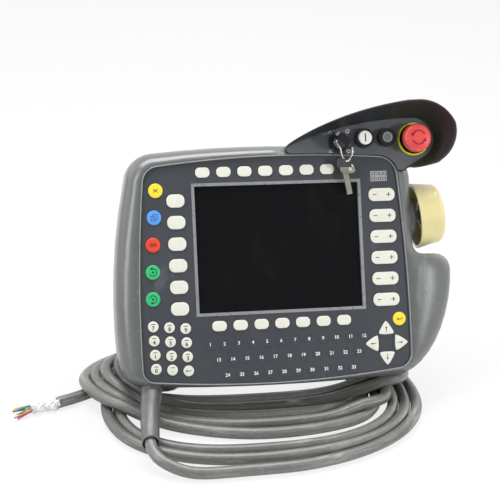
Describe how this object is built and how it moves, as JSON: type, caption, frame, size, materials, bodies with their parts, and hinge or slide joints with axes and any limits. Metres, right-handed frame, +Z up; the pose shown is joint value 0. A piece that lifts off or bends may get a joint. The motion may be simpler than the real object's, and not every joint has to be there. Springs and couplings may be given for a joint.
{
  "type": "robot teach pendant",
  "caption": "Hand-held robot teach pendant with screen, foil keypad, hooded emergency stop and mode key, side joystick, rear enabling switches and coiled cable.",
  "frame": {"origin": "middle of the pendant without its cable, on the surface it stands on", "axes": "+X along the width of the face to the joystick side; -Y towards the user, who looks at the leaning face; +Z up"},
  "size_m": [0.4461, 0.2557, 0.2961],
  "materials": {
    "grey_housing": "satin grey moulded, lightly rubbed",
    "dark_seal": "matt",
    "screw_steel": "satin",
    "key_foil": "satin printed foil",
    "dome_steel": "satin",
    "frame_metal": "satin",
    "screen_glass": "glossy dark",
    "module_metal": "plain",
    "board_green": "satin",
    "post_metal": "plain",
    "hood_black": "satin black",
    "plate_slate": "satin",
    "stop_yellow": "satin",
    "stop_red": "satin gloss",
    "fitting_black": "satin",
    "lock_metal": "worn",
    "key_black": "satin",
    "wire_metal": "bright",
    "key_metal": "worn",
    "button_white": "satin gloss",
    "button_dark": "satin",
    "contact_beige": "plain",
    "gold_metal": "satin",
    "works_steel": "machined",
    "cap_cream": "glossy",
    "enable_ivory": "satin",
    "start_green": "satin gloss",
    "pad_rubber": "matt",
    "cable_grey": "scuffed matt",
    "boot_grey": "satin",
    "core_fleece": "fibrous"
  },
  "bodies": {
    "pendant": {"front_housing": "grey_housing", "rear_housing": "grey_housing", "housing_seal": "dark_seal", "housing_screws": "screw_steel", "keypad_overlay": "key_foil", "dome_sheet": "dome_steel", "display_bezel": "frame_metal", "display_window": "screen_glass", "lcd_module": "module_metal", "main_board": "board_green", "board_standoffs": "post_metal", "interface_board": "board_green", "hood_shell": "hood_black", "control_plate": "plate_slate", "estop_collar": "stop_yellow", "estop_body": "fitting_black", "lock_body": "fitting_black", "drives_on_body": "fitting_black", "drives_off_body": "fitting_black", "contact_blocks": "contact_beige", "joystick_base": "fitting_black", "joystick_ring": "gold_metal", "enable_frames": "fitting_black", "enable_contacts": "contact_beige", "start_key_frame": "fitting_black", "grip_pads": "pad_rubber", "cable_gland": "dark_seal", "cable_boot": "boot_grey", "cable_lead": "cable_grey", "coil_lower": "cable_grey", "coil_upper": "cable_grey", "cable_tail": "cable_grey", "cable_cores": "core_fleece"},
    "estop_push": {"estop_plunger": "fitting_black"},
    "estop_head": {"estop_cap": "stop_red"},
    "lock": {"lock_cylinder": "lock_metal", "mode_key": "key_black"},
    "key_loop": {"key_ring": "wire_metal"},
    "spare": {"spare_key": "key_metal"},
    "drives_on": {"drives_on_button": "button_white"},
    "drives_off": {"drives_off_button": "button_dark"},
    "joy_slide": {"joystick_carriage": "works_steel"},
    "joy_tilt_a": {"joystick_gimbal": "works_steel"},
    "joy_tilt_b": {"joystick_hub": "works_steel"},
    "joy_twist": {"joystick_cap": "cap_cream"},
    "enable_l": {"enable_left": "enable_ivory"},
    "enable_i": {"enable_inner": "enable_ivory"},
    "enable_o": {"enable_outer": "enable_ivory"},
    "start": {"start_key": "start_green"}
  },
  "joints": [
    {"name": "estop_travel", "type": "slide", "parent": "pendant", "child": "estop_push", "axis": [0, 0.866, -0.5], "range_m": [0, 0.004]},
    {"name": "estop_release_turn", "type": "hinge", "parent": "estop_push", "child": "estop_head", "pos_m": [0.1324, 0.03114, 0.25105], "axis": [0, -0.866, 0.5], "range_deg": [0, 30], "stiffness_Nm_per_rad": 0.05, "springref_deg": -5.73},
    {"name": "mode_turn", "type": "hinge", "parent": "pendant", "child": "lock", "pos_m": [0.0542, 0.03559, 0.24675], "axis": [0, 0.866, -0.5], "range_deg": [0, 270]},
    {"name": "loop_swing", "type": "hinge", "parent": "pendant", "child": "key_loop", "pos_m": [0.0542, 0.02831, 0.25095], "axis": [0.0658, -0.9237, 0.3775], "range_deg": [-18, 18]},
    {"name": "spare_key_swing", "type": "hinge", "parent": "key_loop", "child": "spare", "pos_m": [0.06178, 0.02281, 0.23617], "axis": [0.0658, -0.9237, 0.3775], "range_deg": [-12, 12]},
    {"name": "drives_on_press", "type": "slide", "parent": "pendant", "child": "drives_on", "axis": [0, 0.866, -0.5], "range_m": [0, 0.003], "stiffness_N_per_m": 400, "springref_m": -0.001},
    {"name": "drives_off_press", "type": "slide", "parent": "pendant", "child": "drives_off", "axis": [0, 0.866, -0.5], "range_m": [0, 0.003], "stiffness_N_per_m": 400, "springref_m": -0.001},
    {"name": "joystick_push_pull", "type": "slide", "parent": "pendant", "child": "joy_slide", "axis": [0.9918, -0.0286, 0.1248], "range_m": [-0.001, 0.001], "stiffness_N_per_m": 3000},
    {"name": "joystick_tilt_along_face", "type": "hinge", "parent": "joy_slide", "child": "joy_tilt_a", "pos_m": [0.15129, 0.02568, 0.16786], "axis": [0.0868, 0.8668, -0.491], "range_deg": [-2.5, 2.5], "stiffness_Nm_per_rad": 2.5},
    {"name": "joystick_tilt_in_and_out", "type": "hinge", "parent": "joy_tilt_a", "child": "joy_tilt_b", "pos_m": [0.15129, 0.02568, 0.16786], "axis": [-0.0941, 0.4978, 0.8622], "range_deg": [-2.5, 2.5], "stiffness_Nm_per_rad": 2.5},
    {"name": "joystick_twist", "type": "hinge", "parent": "joy_tilt_b", "child": "joy_twist", "pos_m": [0.15129, 0.02568, 0.16786], "axis": [0.9918, -0.0286, 0.1248], "range_deg": [-4, 4], "stiffness_Nm_per_rad": 2},
    {"name": "enable_left_squeeze", "type": "slide", "parent": "pendant", "child": "enable_l", "axis": [0, -0.866, 0.5], "range_m": [0, 0.005], "stiffness_N_per_m": 900, "springref_m": -0.001},
    {"name": "enable_inner_squeeze", "type": "slide", "parent": "pendant", "child": "enable_i", "axis": [0, -0.866, 0.5], "range_m": [0, 0.005], "stiffness_N_per_m": 900, "springref_m": -0.001},
    {"name": "enable_outer_squeeze", "type": "slide", "parent": "pendant", "child": "enable_o", "axis": [0, -0.866, 0.5], "range_m": [0, 0.005], "stiffness_N_per_m": 900, "springref_m": -0.001},
    {"name": "start_press", "type": "slide", "parent": "pendant", "child": "start", "axis": [0, -0.866, 0.5], "range_m": [0, 0.0025], "stiffness_N_per_m": 500, "springref_m": -0.001}
  ]
}
